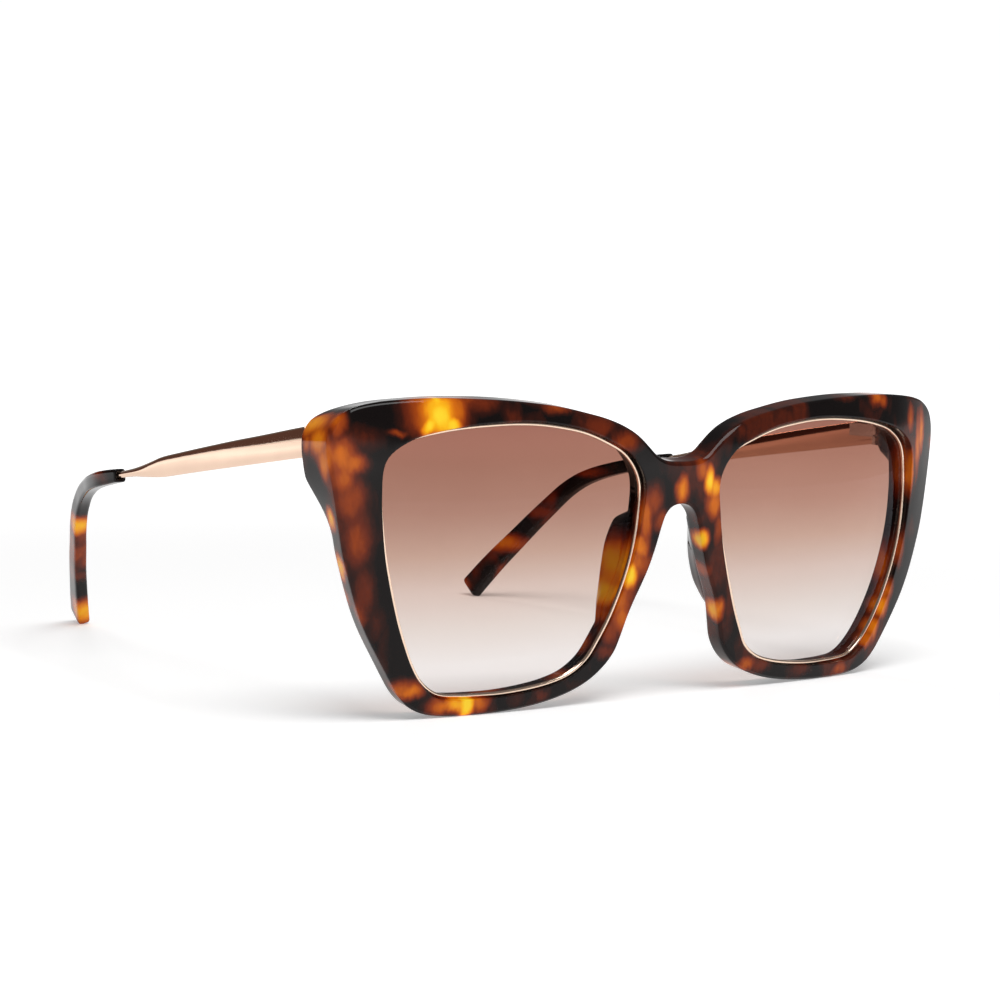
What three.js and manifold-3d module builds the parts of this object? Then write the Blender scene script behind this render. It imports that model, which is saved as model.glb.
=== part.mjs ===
// Cat eye sunglasses: thick acetate front, two gradient lenses held in grooves
// behind slim metal trim rings, acetate nose pads, metal temples on three-barrel
// hinges, and acetate ear tips on the temple wires.
// Millimetres, +Z up. The front faces -Y, +X is the wearer's left side.
// The glasses rest open on a surface at z = 0: both rim bottoms and both ear
// tips touch it. The origin is the bottom centre of the whole box.
import * as THREE from 'three';
import Module from 'manifold-3d';
import { mergeVertices } from 'three/addons/utils/BufferGeometryUtils.js';

const wasm = await Module();
wasm.setup();

// ---------------------------------------------------------------- dimensions
const DEG = Math.PI / 180;
const LENS_CENTRE_X = 37.98;      // half the distance between lens centres
const LENS_RADIUS = 91.2;         // spherical lens curve
const LENS_WRAP = 5.475 * DEG;    // each lens turns back at the temple side
const FRONT_TILT = 5.762 * DEG;   // top of the front leans forward
const REST_PITCH = 0.67 * DEG;   // small turn that brings rims and tips level
const LENS_THICK = 1.6;
const RING_FRONT = -0.25;         // trim ring faces, measured from the lens curve
const RING_BACK = 0.35;
const LENS_FRONT = 0.60;
const LENS_BACK = LENS_FRONT + LENS_THICK;
const GROOVE_FRONT = -0.50;
const GROOVE_BACK = 2.45;
const RIM_BACK = 4.10;            // rear face of the rim at the opening
const RING_HALF = 0.38;           // half the visible width of the trim ring
const RING_HIDDEN = 0.45;         // how far the ring runs into the groove
const LENS_HIDDEN = 0.60;
const GROOVE_DEPTH = 0.90;
const LIP = 1.25;                 // band of fine faces over the groove, front and rear
const BEVEL = 0.28;               // half width of the polished front bevel
const BEVEL_DEPTH = 0.50;
const RIM_DEPTH = 5.1;            // rim thickness at its outer edge
const END_DEPTH = 8.9;            // thickness of the swept-back end pieces
const BACK_ROUND = 0.45;
const SIDE_LEAN = 0.5;            // share of the front's side slope that its walls follow
const END_DROP = 0.13;            // the end pieces run level instead of rising with the front's lean
const NOSE_SPLAY = 0.17;          // the nose sides of the rims open towards the back
const END_FACE_Y = 16.35;         // flat rear face of each end piece
const HINGE_X = 67.75;
const HINGE_Y = 17.95;
const HINGE_Z = 23.55;
const BARREL_R = 1.25;
const BORE_R = 0.72;
const PIN_R = 0.45;
const KNUCKLE = 1.75;             // length of each barrel
const KNUCKLE_GAP = 0.25;
const OUTLINE_POINTS = 190;
const OPENING_POINTS = 72;

// front surface of the acetate: depth as a function of width x and height v
const SURF = [0.42609, -0.00036682, 3.5385e-7, 0.018796, 0.0027755, -3.1651e-6];
// outer edge of the front face, wearer's-left half, from the top of the bridge
// round the temple side and the bottom to the middle of the nose arch
const EDGE = [
  [0, 19.55], [2.4, 19.6], [4.4, 19.95], [6.3, 20.9], [8.1, 22.5], [9.8, 23.95], [11.4, 25.05],
  [13.4, 26.05], [15.6, 26.9], [18.6, 27.8], [21.8, 28.5], [25.2, 29.2], [29, 29.85], [33, 30.3],
  [37.6, 30.7], [42, 30.95], [46.5, 31.1], [51, 31.2], [55.5, 31.1], [60, 30.75], [64.2, 30.2],
  [67.6, 29.3], [70.2, 27.6], [71.5, 25.2], [71.75, 22.3], [71.3, 19.2], [70.6, 15.4], [70.0, 11.8],
  [69.4, 8.2], [68.7, 4.5], [67.7, 1], [66.6, -2.5], [65.3, -6], [63.8, -9.2], [62.0, -12.3],
  [60.2, -15.2], [58.5, -17.9], [56.8, -20.4], [54.7, -22.4], [52, -23.6], [48.8, -24.1],
  [45, -24.25], [41, -24.25], [37, -24.1], [33, -23.8], [29.3, -23.35], [25.5, -22.6],
  [21.8, -21.5], [18.3, -19.9], [15.3, -17.6], [13.1, -14.8], [12.0, -11.6], [11.0, -8.2],
  [9.8, -5.2], [8.4, -2.3], [7.1, 0.6], [6.1, 3.4], [5.3, 6.0], [4.6, 8.4], [3.7, 10.6],
  [2.2, 12.0], [0, 12.45]];
// middle line of the trim ring: radius from the lens centre every 10 degrees,
// from the temple side over the top to the nose side
const RING = [
  23.0, 24.36, 26.25, 28.99, 32.11, 31.38, 29.53, 28.14, 27.33, 27.16, 27.47, 28.2,
  29.5, 30.98, 32.78, 32.74, 29.88, 27.58, 25.87, 24.76, 24.25, 24.14, 24.51, 23.88,
  22.58, 21.53, 20.98, 20.95, 21.33, 22.37, 23.82, 23.76, 22.95, 22.27, 22.06, 22.26];
// temple: distance back, sideways centre, upper edge, lower edge, thickness
const TEMPLE = [
  [17.2, 69.95, 26.36, 21.01, 1.25], [22, 70.0, 25.55, 20.3, 1.25], [32, 70.0, 23.8, 18.8, 1.25],
  [42, 70.0, 22.1, 17.3, 1.25], [52, 70.0, 20.3, 15.8, 1.25], [62, 70.0, 18.45, 14.25, 1.25],
  [69, 70.0, 17.1, 13.15, 1.3], [73, 70.0, 16.0, 12.75, 1.35], [77, 70.0, 14.9, 12.45, 1.4],
  [81, 70.05, 13.9, 12.2, 1.4], [85, 70.1, 13.1, 11.7, 1.4], [88, 70.15, 12.55, 11.15, 1.4],
  [92, 70.3, 11.85, 10.45, 1.4], [95, 70.3, 11.3, 9.9, 1.4]];
// ear tip: centre x, y, z, width in the plane of the bend, thickness
const TIP = [
  [70.1, 87.2, 11.95, 2.6, 2.5], [70.3, 91, 11.3, 2.9, 2.7], [70.3, 95, 10.55, 3.05, 2.8],
  [69.4, 100, 9.5, 3.05, 2.8], [68.0, 105, 8.25, 3.1, 2.75], [66.5, 110, 6.6, 3.25, 2.75],
  [65.2, 114, 4.7, 3.45, 2.75], [63.9, 118, 1.9, 3.7, 2.75], [62.3, 122, -2.0, 4.0, 2.75],
  [60.4, 126, -6.3, 4.35, 2.75], [58.5, 130, -10.8, 4.7, 2.75], [56.4, 134, -15.4, 5.15, 2.75],
  [54.6, 137.3, -19.5, 5.55, 2.75], [52.85, 140.3, -23.55, 5.8, 2.75]];

// ------------------------------------------------------------------- helpers
const V = (x, y, z) => new THREE.Vector3(x, y, z);
const mix = (a, b, t) => a + (b - a) * t;
const smooth = (a, b, x) => { const t = Math.min(1, Math.max(0, (x - a) / (b - a))); return t * t * (3 - 2 * t); };
const frontDepth = (x, v) => SURF[0] + SURF[1] * x * x + SURF[2] * x ** 4 + SURF[3] * v + SURF[4] * v * v + SURF[5] * x * x * v;
// chart (width, height, depth) of the leaning front -> part axes
const lean = (x, v, w) => V(x, w * Math.cos(FRONT_TILT) - v * Math.sin(FRONT_TILT), w * Math.sin(FRONT_TILT) + v * Math.cos(FRONT_TILT));
// uniform Catmull-Rom through points; closed or open
function spline(pts, per, closed) {
  const n = pts.length, out = [], m = closed ? n : n - 1, d = pts[0].length;
  const at = i => closed ? pts[(i + n) % n] : pts[Math.min(n - 1, Math.max(0, i))];
  for (let i = 0; i < m; i++) for (let j = 0; j < per; j++) {
    const t = j / per, p0 = at(i - 1), p1 = at(i), p2 = at(i + 1), p3 = at(i + 2), q = [];
    for (let c = 0; c < d; c++) q.push(0.5 * (2 * p1[c] + (p2[c] - p0[c]) * t + (2 * p0[c] - 5 * p1[c] + 4 * p2[c] - p3[c]) * t * t + (3 * p1[c] - p0[c] - 3 * p2[c] + p3[c]) * t ** 3));
    out.push(q);
  }
  if (!closed) out.push([...pts[n - 1]]);
  return out;
}
// even spacing along a closed line of [x, y] points
function even(pts, count) {
  const n = pts.length, len = [0];
  for (let i = 0; i < n; i++) { const a = pts[i], b = pts[(i + 1) % n]; len.push(len[i] + Math.hypot(b[0] - a[0], b[1] - a[1])); }
  const out = []; let k = 0;
  for (let j = 0; j < count; j++) {
    const s = len[n] * j / count;
    while (len[k + 1] < s) k++;
    const t = (s - len[k]) / (len[k + 1] - len[k]), a = pts[k], b = pts[(k + 1) % n];
    out.push([mix(a[0], b[0], t), mix(a[1], b[1], t)]);
  }
  return out;
}
// outward offset of a closed line that runs counter-clockwise
function offset(pts, d) {
  const n = pts.length;
  return pts.map((p, i) => {
    const a = pts[(i + n - 1) % n], b = pts[(i + 1) % n], l = Math.hypot(b[0] - a[0], b[1] - a[1]);
    return [p[0] + d * (b[1] - a[1]) / l, p[1] - d * (b[0] - a[0]) / l];
  });
}
// closed solid from rings of points (equal counts) with flat caps at both ends
function loft(rings) {
  const n = rings[0].length, pos = [], idx = [];
  for (const r of rings) for (const p of r) pos.push(p.x, p.y, p.z);
  for (let k = 0; k + 1 < rings.length; k++) for (let i = 0; i < n; i++) {
    const a = k * n + i, b = k * n + (i + 1) % n, c = a + n, e = b + n;
    idx.push(a, b, e, a, e, c);
  }
  for (const [k, flip] of [[0, true], [rings.length - 1, false]]) {
    const m = V(0, 0, 0); for (const p of rings[k]) m.add(p); m.divideScalar(n);
    const c = pos.length / 3; pos.push(m.x, m.y, m.z);
    for (let i = 0; i < n; i++) { const a = k * n + i, b = k * n + (i + 1) % n; flip ? idx.push(c, b, a) : idx.push(c, a, b); }
  }
  return fromArrays(pos, idx);
}
function fromArrays(pos, idx) {
  let v = 0;
  const P = i => V(pos[3 * i], pos[3 * i + 1], pos[3 * i + 2]);
  for (let i = 0; i < idx.length; i += 3) v += P(idx[i]).dot(P(idx[i + 1]).cross(P(idx[i + 2])));
  if (v < 0) for (let i = 0; i < idx.length; i += 3) [idx[i + 1], idx[i + 2]] = [idx[i + 2], idx[i + 1]];
  const g = new THREE.BufferGeometry();
  g.setAttribute('position', new THREE.Float32BufferAttribute(pos, 3));
  g.setIndex(idx);
  return g;
}
function solid(g) {
  const h = g.clone(); h.deleteAttribute('normal'); h.deleteAttribute('uv');
  const m = mergeVertices(h, 1e-4);
  return new wasm.Manifold(new wasm.Mesh({ numProp: 3, vertProperties: new Float32Array(m.attributes.position.array), triVerts: new Uint32Array(m.index.array) }));
}
function surface(man) {
  const m = man.getMesh(), g = new THREE.BufferGeometry();
  g.setAttribute('position', new THREE.Float32BufferAttribute(Array.from(m.vertProperties), 3));
  g.setIndex(Array.from(m.triVerts));
  return g;
}
const box = (x0, x1, y0, y1, z0, z1) => new THREE.BoxGeometry(x1 - x0, y1 - y0, z1 - z0).translate((x0 + x1) / 2, (y0 + y1) / 2, (z0 + z1) / 2);
const rod = (x, y, z0, z1, r, n) => new THREE.CylinderGeometry(r, r, z1 - z0, n).rotateX(Math.PI / 2).translate(x, y, (z0 + z1) / 2);
// the small pitch that levels the rims with the ear tips
const level = g => g.rotateX(REST_PITCH);
// mirror to the wearer's right side (-X)
function mirror(g) {
  const h = g.clone().scale(-1, 1, 1), a = h.index.array;
  for (let i = 0; i < a.length; i += 3) { const t = a[i + 1]; a[i + 1] = a[i + 2]; a[i + 2] = t; }
  return h;
}

// --------------------------------------------------------- lens and ring line
// points of the ring's middle line in the lens's own axes: u outward, v up
const ringLine = even(spline(RING.map((r, i) => [r * Math.cos(i * 10 * DEG), r * Math.sin(i * 10 * DEG)]), 12, true), OPENING_POINTS);
const sag = (u, v) => (u * u + v * v) / (2 * LENS_RADIUS);
const lensChart = (u, v, w) => [LENS_CENTRE_X + u * Math.cos(LENS_WRAP) - w * Math.sin(LENS_WRAP), v, u * Math.sin(LENS_WRAP) + w * Math.cos(LENS_WRAP)];
// a loop at a given offset from the ring line and distance behind the lens curve
const lensLoop = (off, w) => offset(ringLine, off).map(([u, v]) => lensChart(u, v, sag(u, v) + w));
// a loop at a given offset on the front surface of the acetate
const frontLoop = off => offset(ringLine, off).map(([u, v]) => {
  let w = sag(u, v);
  for (let k = 0; k < 8; k++) { const c = lensChart(u, v, w); w += (frontDepth(c[0], v) - c[2]) / Math.cos(LENS_WRAP); }
  return lensChart(u, v, w);
});
const leanAll = loop => loop.map(c => lean(c[0], c[1], c[2]));

// -------------------------------------------------------------- acetate front
const half = EDGE.slice(0);
const full = half.concat(half.slice(1, -1).reverse().map(([x, v]) => [-x, v]));
full.reverse();                   // counter-clockwise seen from the front
full.unshift(full.pop());         // start on the middle line, so both halves match
const outline = even(spline(full, 8, true), OUTLINE_POINTS);
const endWeight = (x, v) => smooth(60, 69.5, Math.abs(x)) * smooth(6, 19, v);
const noseWeight = (x, v) => smooth(19, 9, Math.abs(x)) * smooth(1, 3, Math.abs(x)) * smooth(13.5, 9, v);
function backDir(x, v) {
  const h = 0.01;
  const gx = (frontDepth(x + h, v) - frontDepth(x - h, v)) / (2 * h);
  const e = endWeight(x, v), n = noseWeight(x, v);
  return V(-gx * mix(SIDE_LEAN, 0.12, e) + Math.sign(x) * NOSE_SPLAY * n, -END_DROP * e, 1).normalize();
}
function edgeLoop(off, depthOf) {
  return offset(outline, off).map(([x, v]) => {
    const d = backDir(x, v), t = depthOf(x, v);
    return [x + d.x * t, v + d.y * t, frontDepth(x, v) + d.z * t];
  });
}
const rimDepth = (x, v) => mix(RIM_DEPTH, END_DEPTH, endWeight(x, v));
function buildFront() {
  const outer = [
    edgeLoop(-BEVEL, () => 0), edgeLoop(BEVEL, () => BEVEL_DEPTH),
    edgeLoop(BEVEL, (x, v) => rimDepth(x, v) - BACK_ROUND), edgeLoop(BEVEL - BACK_ROUND, rimDepth)];
  const inner = [
    frontLoop(RING_HALF + LIP), frontLoop(RING_HALF), lensLoop(RING_HALF, GROOVE_FRONT), lensLoop(RING_HALF + GROOVE_DEPTH, GROOVE_FRONT),
    lensLoop(RING_HALF + GROOVE_DEPTH, GROOVE_BACK), lensLoop(RING_HALF, GROOVE_BACK), lensLoop(RING_HALF, RIM_BACK),
    lensLoop(RING_HALF + LIP, RIM_BACK)];
  const flip = loop => loop.map(([x, v, w]) => [-x, v, w]).reverse();
  const innerR = inner.map(flip);
  const pos = [], idx = [];
  const add = loop => { const s = pos.length / 3; for (const p of leanAll(loop)) pos.push(p.x, p.y, p.z); return s; };
  const wall = (starts, n, inside) => {
    for (let k = 0; k + 1 < starts.length; k++) for (let i = 0; i < n; i++) {
      const a = starts[k] + i, b = starts[k] + (i + 1) % n, c = starts[k + 1] + i, e = starts[k + 1] + (i + 1) % n;
      inside ? idx.push(a, b, e, a, e, c) : idx.push(a, e, b, a, c, e);
    }
  };
  const so = outer.map(add), si = inner.map(add), sr = innerR.map(add);
  wall(so, outline.length, false); wall(si, OPENING_POINTS, true); wall(sr, OPENING_POINTS, true);
  const cap = (o, a, b, starts, back) => {
    const f = l => l.map(p => new THREE.Vector2(p[0], p[1]));
    const lists = [f(o), f(a), f(b)], lens = lists.map(l => l.length);
    const tris = THREE.ShapeUtils.triangulateShape(lists[0], [lists[1], lists[2]]);
    const at = i => i < lens[0] ? starts[0] + i : i < lens[0] + lens[1] ? starts[1] + i - lens[0] : starts[2] + i - lens[0] - lens[1];
    for (const [p, q, r] of tris) back ? idx.push(at(p), at(r), at(q)) : idx.push(at(p), at(q), at(r));
  };
  cap(outer[0], inner[0], innerR[0], [so[0], si[0], sr[0]], false);
  cap(outer[3], inner[7], innerR[7], [so[3], si[7], sr[7]], true);
  let body = solid(level(fromArrays(pos, idx)));
  // flat rear block of each end piece, where the hinge is set, and its pocket
  const block = [[65.9, 19.3], [69.4, 19.3], [70.5, 20.6], [71.0, 22.8], [71.0, 25.2], [70.2, 27.2], [68.3, 28.5], [65.9, 28.8]];
  for (const s of [1, -1]) {
    const near = block.map(([x, z]) => V(s * (x - 0.5), 10.5, z - 0.2)), far = block.map(([x, z]) => V(s * x, END_FACE_Y, z));
    const pocket = box(HINGE_X - 1.1, HINGE_X + 0.6, 11.6, 20, HINGE_Z - 3.2, HINGE_Z + 3.2);
    body = body.add(solid(loft([near, far])));
    body = body.subtract(solid(s > 0 ? pocket : mirror(pocket)));
  }
  return body;
}

// ------------------------------------------------------------ ring and lens
const ringGeo = (() => {
  const o = RING_HALF + RING_HIDDEN, i = -RING_HALF;
  const loops = [lensLoop(o, RING_FRONT), lensLoop(i, RING_FRONT), lensLoop(i, RING_BACK), lensLoop(o, RING_BACK)].map(leanAll);
  const n = OPENING_POINTS, pos = [], idx = [];
  for (const l of loops) for (const p of l) pos.push(p.x, p.y, p.z);
  for (let k = 0; k < 4; k++) for (let j = 0; j < n; j++) {
    const a = k * n + j, b = k * n + (j + 1) % n, c = ((k + 1) % 4) * n + j, e = ((k + 1) % 4) * n + (j + 1) % n;
    idx.push(a, b, e, a, e, c);
  }
  return level(fromArrays(pos, idx));
})();
const lensGeo = (() => {
  const o = RING_HALF + LENS_HIDDEN, n = OPENING_POINTS, pos = [], idx = [], rows = 3;
  const edge = offset(ringLine, o), starts = [];
  for (const w of [LENS_FRONT, LENS_BACK]) for (let r = 1; r <= rows; r++) {
    starts.push(pos.length / 3);
    for (const [u, v] of edge) { const c = lensChart(u * r / rows, v * r / rows, sag(u * r / rows, v * r / rows) + w), p = lean(...c); pos.push(p.x, p.y, p.z); }
  }
  const mid = [LENS_FRONT, LENS_BACK].map(w => { const p = lean(...lensChart(0, 0, w)); pos.push(p.x, p.y, p.z); return pos.length / 3 - 1; });
  for (let i = 0; i < n; i++) {
    const j = (i + 1) % n;
    idx.push(mid[0], starts[0] + i, starts[0] + j, mid[1], starts[rows] + j, starts[rows] + i);
    for (let r = 0; r + 1 < rows; r++) for (const [b, f] of [[0, false], [rows, true]]) {
      const a = starts[b + r] + i, c = starts[b + r] + j, d = starts[b + r + 1] + i, e = starts[b + r + 1] + j;
      f ? idx.push(a, c, e, a, e, d) : idx.push(a, e, c, a, d, e);
    }
    const a = starts[rows - 1] + i, c = starts[rows - 1] + j, d = starts[2 * rows - 1] + i, e = starts[2 * rows - 1] + j;
    idx.push(a, e, c, a, d, e);
  }
  return level(fromArrays(pos, idx));
})();

// ------------------------------------------------------------------ nose pad
// a thin crescent of acetate on the rear of the nose side of each rim
const PAD_BASE = 5.95;            // depth of the pad's seat, just behind the rim
// height v, seat from x to x, middle of the rear edge x, its depth
const PAD_RISE = 0.115;            // the seat follows the thicker rim beside the bridge
const PAD = [
  [10.8, 5.2, 8.6, 7.2, 7.6], [9.4, 5.5, 9.7, 8.2, 8.7], [7.7, 6.0, 10.3, 9.1, 9.6],
  [4, 7.1, 10.7, 10.0, 10.15], [0, 8.4, 11.4, 10.6, 9.95], [-4, 10.0, 12.8, 11.5, 9.0],
  [-7, 11.4, 14.1, 12.7, 7.6], [-9.4, 12.4, 15.1, 13.7, 6.6], [-10.9, 13.1, 15.6, 14.4, 6.25]];
const padGeo = level(loft(spline(PAD, 3, false).map(([v, xn, xi, xr, wr]) => {
  const base = PAD_BASE + PAD_RISE * Math.max(0, v - 2), h = wr - base, e = Math.min(0.75, (xi - xn) * 0.3);
  return [[xn, 0], [mix(xn, xr - e, 0.5), 0.42 * h], [xr - e, h * 0.86], [xr - e * 0.5, h * 0.97], [xr, h], [xr + e * 0.45, h * 0.95],
    [xr + e * 0.8, h * 0.8], [mix(xi, xr + e * 0.8, 0.45), 0.4 * h], [xi, 0]].map(([x, w]) => lean(x, v, base + w));
})));

// --------------------------------------------------------- temple and ear tip
function sectionLoft(rows, make, per) {
  const line = spline(rows, per, false), rings = [];
  for (let i = 0; i < line.length; i++) {
    const a = line[Math.max(0, i - 1)], b = line[Math.min(line.length - 1, i + 1)];
    rings.push(make(line[i], a, b));
  }
  return rings;
}
const templeRings = sectionLoft(TEMPLE, (r, a, b) => {
  const [y, x, top, bottom, th] = r, h = (top - bottom) / 2, z = (top + bottom) / 2, n = 14, ring = [];
  const dir = V(b[1] - a[1], b[0] - a[0], (b[2] + b[3] - a[2] - a[3]) / 2).normalize();
  const up = V(0, 0, 1).addScaledVector(dir, -dir.z).normalize(), side = V(1, 0, 0).addScaledVector(dir, -dir.x).normalize();
  const e = mix(0.35, 1, smooth(3.4, 1.6, 2 * h)) ;
  for (let i = 0; i < n; i++) {
    const t = (i + 0.5) / n * 2 * Math.PI, c = Math.cos(t), s = Math.sin(t);
    const px = Math.sign(c) * Math.abs(c) ** mix(0.75, 1, e) * th / 2, pz = Math.sign(s) * Math.abs(s) ** mix(0.4, 1, e) * h;
    ring.push(V(x, y, z).addScaledVector(side, px).addScaledVector(up, pz));
  }
  return ring;
}, 3);
const templeGeo = level(loft(templeRings));
const tipLine = spline(TIP, 2, false);
function tipSection(r, a, b, grow, n) {
  const [x, y, z, w, th] = r, ring = [];
  const dir = V(b[0] - a[0], b[1] - a[1], b[2] - a[2]).normalize();
  const side = V(1, 0, 0).addScaledVector(dir, -dir.x).normalize(), up = new THREE.Vector3().crossVectors(side, dir).normalize();
  for (let i = 0; i < n; i++) {
    const t = (i + 0.5) / n * 2 * Math.PI, c = Math.cos(t), s = Math.sin(t), k = 0.5;
    ring.push(V(x, y, z).addScaledVector(side, Math.sign(c) * Math.abs(c) ** k * (th / 2 + grow)).addScaledVector(up, Math.sign(s) * Math.abs(s) ** k * (w / 2 + grow)));
  }
  return ring;
}
function tipGeo() {
  const n = 14, L = tipLine, rings = L.map((r, i) => tipSection(r, L[Math.max(0, i - 1)], L[Math.min(L.length - 1, i + 1)], 0, n));
  // rounded end
  const last = L[L.length - 1], prev = L[L.length - 2], d = V(last[0] - prev[0], last[1] - prev[1], last[2] - prev[2]).normalize();
  for (const [s, g] of [[0.45, -0.12], [0.8, -0.4], [0.95, -0.8]]) rings.push(tipSection([last[0] + d.x * s, last[1] + d.y * s, last[2] + d.z * s, last[3], last[4]], prev, last, g, n));
  let body = solid(loft(rings));
  // socket for the temple wire
  const hole = templeRings.slice(-13).map(r => { const m = V(0, 0, 0); for (const p of r) m.add(p); m.divideScalar(r.length); return r.map(p => p.clone().sub(m).multiplyScalar(1 + 0.26 / p.distanceTo(m)).add(m)); });
  const first = hole[hole.length - 1], before = hole[hole.length - 2];
  hole.push(first.map((p, i) => p.clone().addScaledVector(p.clone().sub(before[i]).normalize(), 0.3)));
  body = body.subtract(solid(loft(hole)));
  const g = surface(body);
  return level(g);
}

// -------------------------------------------------------------------- hinges
const span = 3 * KNUCKLE + 2 * KNUCKLE_GAP, z0 = HINGE_Z - span / 2;
const barrel = (k, extra) => {
  const a = z0 + k * (KNUCKLE + KNUCKLE_GAP);
  let s = solid(rod(HINGE_X, HINGE_Y, a, a + KNUCKLE, BARREL_R, 20));
  for (const g of extra(a, a + KNUCKLE)) s = s.add(solid(g));
  return s.subtract(solid(rod(HINGE_X, HINGE_Y, a - 1, a + KNUCKLE + 1, BORE_R, 16)));
};
const hingeFront = (() => {
  const leg = (a, b) => [box(HINGE_X - 0.85, HINGE_X + 0.35, 15.0, HINGE_Y - 0.75, a, b)];
  const anchor = solid(box(HINGE_X - 0.85, HINGE_X + 0.35, 11.9, 15.4, HINGE_Z - 2.9, HINGE_Z + 2.9));
  return surface(barrel(0, leg).add(barrel(2, leg)).add(anchor));
})();
const hingeTemple = surface(barrel(1, (a, b) => [
  box(HINGE_X, 69.05, HINGE_Y - 0.6, HINGE_Y + 1.9, a, b),
  box(67.95, 69.05, HINGE_Y + 1.7, 26.5, a - 0.5, b + 0.35)]));
const hingeScrew = surface(solid(rod(HINGE_X, HINGE_Y, z0 - 0.1, z0 + span + 0.25, PIN_R, 14)).add(solid(rod(HINGE_X, HINGE_Y, z0 + span + 0.22, z0 + span + 0.85, 1.0, 20))).subtract(solid(box(HINGE_X - 2, HINGE_X + 2, HINGE_Y - 0.14, HINGE_Y + 0.14, z0 + span + 0.55, z0 + span + 2))));

// ------------------------------------------------------------------- assembly
const REST_Z = -24.0;            // level of the supporting surface before the final shift
const SHIFT_Y = -71.348;
const below = solid(box(-100, 100, -40, 200, REST_Z - 20, REST_Z));
const frontGeo = surface(buildFront().subtract(below));
const tip = surface(solid(tipGeo()).subtract(below));

const material = (color, roughness, metalness) => new THREE.MeshStandardMaterial({ color, roughness, metalness });
const tortoise = () => material(0x3d2013, 0.12, 0.0);
const gold = () => material(0xe6bd9c, 0.18, 1.0);
const steel = () => material(0xc9c4bd, 0.3, 1.0);
const glass = () => { const m = material(0xc9a08c, 0.05, 0.0); m.transparent = true; m.opacity = 0.45; return m; };

const glasses = new THREE.Group();
glasses.position.set(0, SHIFT_Y, -REST_Z);
const put = (name, geometry, mat) => { const m = new THREE.Mesh(geometry, mat); m.name = name; glasses.add(m); };
put('front_frame', frontGeo, tortoise());
for (const [side, f] of [['left', g => g.clone()], ['right', mirror]]) {
  put('rim_ring_' + side, f(ringGeo), gold());
  put('lens_' + side, f(lensGeo), glass());
  put('nose_pad_' + side, f(padGeo), tortoise());
  put('hinge_front_' + side, f(hingeFront), steel());
  put('hinge_screw_' + side, f(hingeScrew), steel());
  put('hinge_temple_' + side, f(hingeTemple), steel());
  put('temple_' + side, f(templeGeo), gold());
  put('ear_tip_' + side, f(tip), tortoise());
}
export default glasses;
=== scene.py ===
"""Cat eye sunglasses: the looks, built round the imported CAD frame. Lengths below are in
millimetres in the glasses' own axes and become metres when a mesh is made."""
import math
import bpy
import bmesh
import numpy as np
from mathutils import Matrix, Vector
from mathutils.geometry import delaunay_2d_cdt

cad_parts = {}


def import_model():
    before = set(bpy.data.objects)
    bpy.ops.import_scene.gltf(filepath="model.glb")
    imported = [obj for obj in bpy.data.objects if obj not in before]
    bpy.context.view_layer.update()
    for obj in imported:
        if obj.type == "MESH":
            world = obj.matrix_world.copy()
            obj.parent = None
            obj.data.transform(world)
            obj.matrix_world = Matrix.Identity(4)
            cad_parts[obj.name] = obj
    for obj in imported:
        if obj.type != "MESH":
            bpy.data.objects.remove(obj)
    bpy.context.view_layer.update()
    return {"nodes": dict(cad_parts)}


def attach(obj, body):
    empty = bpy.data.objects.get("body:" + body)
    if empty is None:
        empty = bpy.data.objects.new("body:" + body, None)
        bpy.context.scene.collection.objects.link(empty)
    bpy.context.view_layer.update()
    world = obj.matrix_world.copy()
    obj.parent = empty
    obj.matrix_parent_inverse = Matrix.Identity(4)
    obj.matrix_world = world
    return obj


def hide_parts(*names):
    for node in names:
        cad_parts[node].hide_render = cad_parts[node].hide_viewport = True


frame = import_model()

DEG = math.pi / 180

# ------------------------------------------------------------------ dimensions
LENS_CENTRE_X = 37.98
LENS_RADIUS = 91.2
LENS_WRAP = 5.475 * DEG
FRONT_TILT = 5.762 * DEG
REST_PITCH = 0.67 * DEG
LENS_THICK = 1.6
RING_FRONT = -0.25
RING_BACK = 0.35
LENS_FRONT = 0.60
GROOVE_FRONT = -0.50
GROOVE_BACK = 2.45
RIM_BACK = 4.10
RING_HALF = 0.38
RING_HIDDEN = 0.45
LENS_HIDDEN = 0.60
GROOVE_DEPTH = 0.90
BEVEL = 0.28
RIM_DEPTH = 5.1
SIDE_LEAN = 0.5
END_DROP = 0.13
NOSE_SPLAY = 0.17
END_FACE_Y = 16.35
HINGE_X = 67.75
HINGE_Y = 17.95
HINGE_Z = 23.55
PAD_BASE = 5.95
PAD_RISE = 0.115
REST_Z = -24.0
SHIFT_Y = -71.348
LENS_BACK = LENS_FRONT + LENS_THICK
END_REACH = 10.7      # end pieces run back to their flat rear face
SURF = [0.42609, -0.00036682, 3.5385e-7, 0.018796, 0.0027755, -3.1651e-6]
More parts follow.
